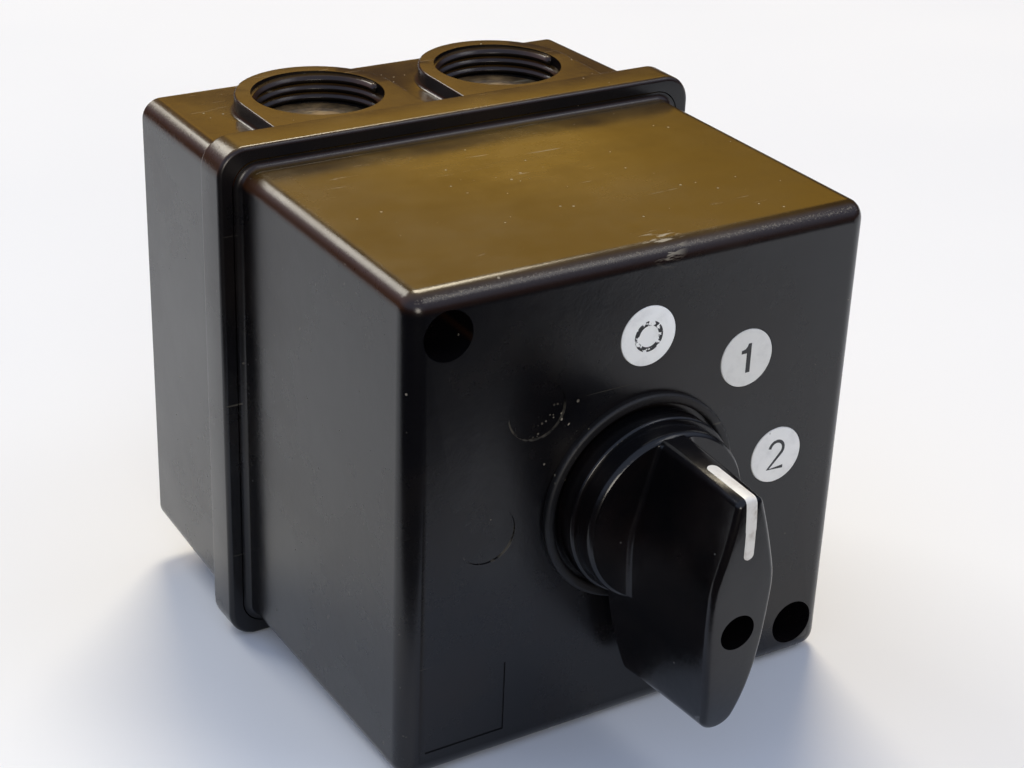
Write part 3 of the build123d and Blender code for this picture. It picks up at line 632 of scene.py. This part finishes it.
ring_radius = 0.00215
ring_width = 0.00078
ring_path = arc_points((0, 0), ring_radius, 0, 354, 59)
flat_film("printed_0", stroke(ring_path, ring_width, closed=True), 0, printed_ink("worn_ink", 0.07))

heavy_number = bmesh.new()
heavy_outline = ((0.72, -2.5), (0.72, 2.5), (0.12, 2.5), (-0.05, 2.0), (-0.42, 1.62), (-1.12, 1.45),
                 (-1.12, 0.88), (-0.1, 0.88), (-0.1, -2.5))
heavy_number.faces.new([heavy_number.verts.new((x / 1000, y / 1000, 0)) for x, y in heavy_outline])
flat_film("printed_1", heavy_number, 1, printed_ink("heavy_ink", -0.1))

thin_width = 0.00056
thin_bow = arc_points((0, 0.00112), 0.00136, 172, -38, 24)
thin_path = thin_bow + [(-0.0015, -0.0024), (0.00156, -0.0024)]
flat_film("printed_2", stroke(thin_path, thin_width), 2, printed_ink("thin_ink", -0.1))

# Steel pieces: the screws, nuts and plates, the shaft with its clip, and the detent's springs.
# All are zinc plated and have dulled in patches.


def plated_steel():
    """Brushed zinc plating, bright and dull in clouds."""
    bright = (0.50, 0.50, 0.49)
    dulled = (0.30, 0.27, 0.22)
    material, tree, shader, place = new_material("plated_steel")
    clouds = noise(tree, place, 180.0, 5.0, 0.6)
    brushed = noise(tree, place, 300.0, 2.0, 0.5, stretch=(1, 0.08, 1))
    colour = blend_colour(tree, ramp(tree, clouds, 0.35, 0.75), bright, dulled)
    tree.links.new(colour, shader.inputs["Base Color"])
    shader.inputs["Metallic"].default_value = 1.0
    tree.links.new(ramp(tree, clouds, 0.3, 0.8, 0.3, 0.55), shader.inputs["Roughness"])
    relief(tree, shader, brushed, 0.00003)
    return material


steel = plated_steel()
for name in ("cover_screws", "knob_screw", "shaft", "shaft_clip", "rear_plate", "mounting_screws",
             "terminal_screws", "front_plate", "tie_bolts", "tie_nuts", "earth_screw",
             "detent_springs"):
    dress(smooth_copy(name), steel)

# Brass pieces: the bush, driver, inserts and earth block, and the switch's fixed and moving
# contacts. Their surface is dull, with brown tarnish in clouds.


def dull_brass():
    """Brass with cloudy tarnish."""
    clean = (0.62, 0.45, 0.20)
    tarnished = (0.34, 0.22, 0.10)
    material, tree, shader, place = new_material("dull_brass")
    clouds = noise(tree, place, 150.0, 5.0, 0.6)
    colour = blend_colour(tree, ramp(tree, clouds, 0.35, 0.75), clean, tarnished)
    tree.links.new(colour, shader.inputs["Base Color"])
    shader.inputs["Metallic"].default_value = 1.0
    tree.links.new(ramp(tree, clouds, 0.3, 0.8, 0.28, 0.5), shader.inputs["Roughness"])
    relief(tree, shader, clouds, 0.00003)
    return material


brass = dull_brass()
brass_names = ["shaft_bush", "driver", "cover_inserts", "earth_terminal"]
brass_names += [name for name in nodes if name.startswith(("blade_", "contact_"))]
for name in brass_names:
    dress(smooth_copy(name), brass)

# Insulating pieces: the decks with their rotors, and the detent's housing and wheel. They are
# moulded in a brown resin whose filler shows as light flecks.


def brown_resin():
    """Brown filled resin, cloudy and flecked."""
    brown = (0.105, 0.045, 0.020)
    light_brown = (0.17, 0.085, 0.04)
    filler = (0.30, 0.19, 0.10)
    material, tree, shader, place = new_material("brown_resin")
    flecks = noise(tree, place, 700.0, 3.0, 0.7)
    clouds = noise(tree, place, 90.0, 4.0, 0.6)
    colour = blend_colour(tree, ramp(tree, clouds, 0.35, 0.7), brown, light_brown)
    colour = blend_colour(tree, ramp(tree, flecks, 0.62, 0.7, 0, 0.5), colour, filler)
    tree.links.new(colour, shader.inputs["Base Color"])
    tree.links.new(ramp(tree, clouds, 0.3, 0.7, 0.35, 0.55), shader.inputs["Roughness"])
    relief(tree, shader, flecks, 0.00004)
    return material


resin = brown_resin()
resin_names = ["detent_housing", "star_wheel"]
resin_names += [name for name in nodes if name.startswith(("deck_", "rotor_"))]
for name in resin_names:
    dress(smooth_copy(name), resin)

# Seals: the cord between cover and base, and the washer under the knob. Both are soft black
# rubber with a matt grain.


def black_rubber():
    """Matt rubber with a fine grain."""
    black = (0.012, 0.012, 0.012)
    chalked = (0.03, 0.029, 0.027)
    material, tree, shader, place = new_material("black_rubber")
    grain = noise(tree, place, 900.0, 4.0, 0.6)
    colour = blend_colour(tree, ramp(tree, grain, 0.4, 0.7), black, chalked)
    tree.links.new(colour, shader.inputs["Base Color"])
    tree.links.new(ramp(tree, grain, 0.3, 0.7, 0.6, 0.8), shader.inputs["Roughness"])
    relief(tree, shader, grain, 0.00003)
    return material


rubber = black_rubber()
for name in ("gasket", "shaft_washer"):
    dress(smooth_copy(name), rubber)

# Floor: a plain pale sheet. The switch leans forward on it, from its rim onto the front's lower
# edge, so the sheet slopes in the switch's own frame. It ends a hand's breadth before the
# switch, below the picture, and the front mirrors the dark beyond.

rim_foot = Vector((0, -0.0376, cad_low[2]))
lean = math.radians(4.2)
floor_half = 2.5
floor_turn = math.radians(-32.4)
floor_front = 0.135
floor_gap = 0.0001


def pale_sheet():
    """Smooth pale card, hardly clouded."""
    bluish = (0.76, 0.785, 0.83)
    pale = (0.80, 0.82, 0.855)
    material, tree, shader, place = new_material("pale_sheet")
    clouds = noise(tree, place, 3.0, 3.0, 0.5)
    colour = blend_colour(tree, ramp(tree, clouds, 0.3, 0.7), bluish, pale)
    tree.links.new(colour, shader.inputs["Base Color"])
    shader.inputs["Roughness"].default_value = 0.42
    return material


def floor_sheet():
    """The sheet turned to the camera, sloped under the leaning switch and set below its rim."""
    sheet = bmesh.new()
    across = Matrix.Rotation(floor_turn, 3, "Z")
    slope = Matrix.Rotation(-lean, 3, "X")
    bmesh.ops.create_grid(sheet, x_segments=8, y_segments=8, size=floor_half)
    bmesh.ops.translate(sheet, verts=sheet.verts, vec=(0, floor_half - floor_front, 0))
    bmesh.ops.rotate(sheet, verts=sheet.verts, cent=(0, 0, 0), matrix=across)
    bmesh.ops.translate(sheet, verts=sheet.verts, vec=(0, -rim_foot.y, 0))
    bmesh.ops.rotate(sheet, verts=sheet.verts, cent=(0, 0, 0), matrix=slope)
    bmesh.ops.translate(sheet, verts=sheet.verts, vec=rim_foot - Vector((0, 0, floor_gap)))
    piece = shell_piece("floor", sheet)
    dress(piece, pale_sheet())


floor_sheet()

# Light and camera: warm lamps from behind, bluish daylight from everywhere but the corner that
# the top mirrors, and a long lens from the left above the front, as the photograph was taken.

middle = (Vector(cad_low) + Vector(cad_high)) / 2


def soft_lamp(name, toward_lamp, distance, size, power, colour):
    """A rectangular lamp in a direction from the switch, facing it."""
    data = bpy.data.lights.new(name, "AREA")
    data.shape = "RECTANGLE"
    data.size, data.size_y = size
    data.energy = power
    data.color = colour
    direction = Vector(toward_lamp).normalized()
    lamp = linked(name, data)
    lamp.location = middle + direction * distance
    lamp.rotation_euler = (-direction).to_track_quat("-Z", "Y").to_euler()


soft_lamp("main", (0.31, 0.53, 0.90), 3.0, (1.0, 1.0), 56.0, (1.0, 0.89, 0.68))
soft_lamp("high_left", (-0.2, 0.75, 0.56), 3.0, (1.1, 1.1), 31.0, (1.0, 0.96, 0.86))
soft_lamp("golden", (0.478, 0.754, 0.50), 1.6, (1.0, 0.5), 1.6, (1.0, 0.54, 0.05))
soft_lamp("high_front", (0.47, -0.45, 0.76), 3.0, (1.2, 0.8), 9.0, (1.0, 0.97, 0.92))
soft_lamp("front_fill", (-0.35, -0.9, 0.26), 2.0, (0.8, 0.6), 13.0, (1.0, 0.93, 0.82))

mirrored_corner = Vector((0.478, 0.754, 0.451)).normalized()
corner_edge = (0.55, 0.88)
horizon_edge = (0.08, 0.5)
daylight_blue = (0.49, 0.59, 0.82)
corner_dark = (0.03, 0.02, 0.01)
low_dark = (0.02, 0.02, 0.024)
pale_wall = (0.84, 0.86, 0.88)


def room_light():
    """Daylight from above, dark near the horizon and in one corner, and a pale wall in view."""
    world = bpy.data.worlds.new("room")
    bpy.context.scene.world = world
    world.use_nodes = True
    room = world.node_tree
    sight = room.nodes.new("ShaderNodeTexCoord").outputs["Generated"]
    toward_corner = room.nodes.new("ShaderNodeVectorMath")
    toward_corner.operation = "DOT_PRODUCT"
    toward_corner.inputs[1].default_value = mirrored_corner
    room.links.new(sight, toward_corner.inputs[0])
    in_corner = ramp(room, toward_corner.outputs["Value"], *corner_edge)
    above = ramp(room, axes_of(room, sight)["Z"], *horizon_edge)
    seen = room.nodes.new("ShaderNodeLightPath").outputs["Is Camera Ray"]
    light = blend_colour(room, in_corner, daylight_blue, corner_dark)
    light = blend_colour(room, above, low_dark, light)
    light = blend_colour(room, seen, light, pale_wall)
    room.links.new(light, room.nodes["Background"].inputs["Color"])
    room.nodes["Background"].inputs["Strength"].default_value = 1.0


room_light()

front_width = 0.082
camera_in_widths = Vector((-2.0208, -2.7331, 1.9366))
azimuth, elevation, roll = math.radians(32.363), math.radians(26.846), math.radians(2.331)


def long_lens():
    """The camera, placed in front widths from the front's centre and rolled a little."""
    data = bpy.data.cameras.new("camera")
    data.lens = 72.7
    data.sensor_width = 36.0
    data.clip_end = 20.0
    camera = linked("camera", data)
    camera.location = camera_in_widths * front_width + Vector((0, front_plane, 0))
    toward = Vector((math.sin(azimuth) * math.cos(elevation),
                     math.cos(azimuth) * math.cos(elevation), -math.sin(elevation)))
    right = toward.cross(Vector((0, 0, 1))).normalized()
    up = right.cross(toward)
    rolled_right = right * math.cos(roll) + up * math.sin(roll)
    rolled_up = up * math.cos(roll) - right * math.sin(roll)
    turned = Matrix((rolled_right, rolled_up, -toward)).transposed()
    camera.rotation_euler = turned.to_euler()
    bpy.context.scene.camera = camera


long_lens()
bpy.context.scene.view_settings.view_transform = "Standard"
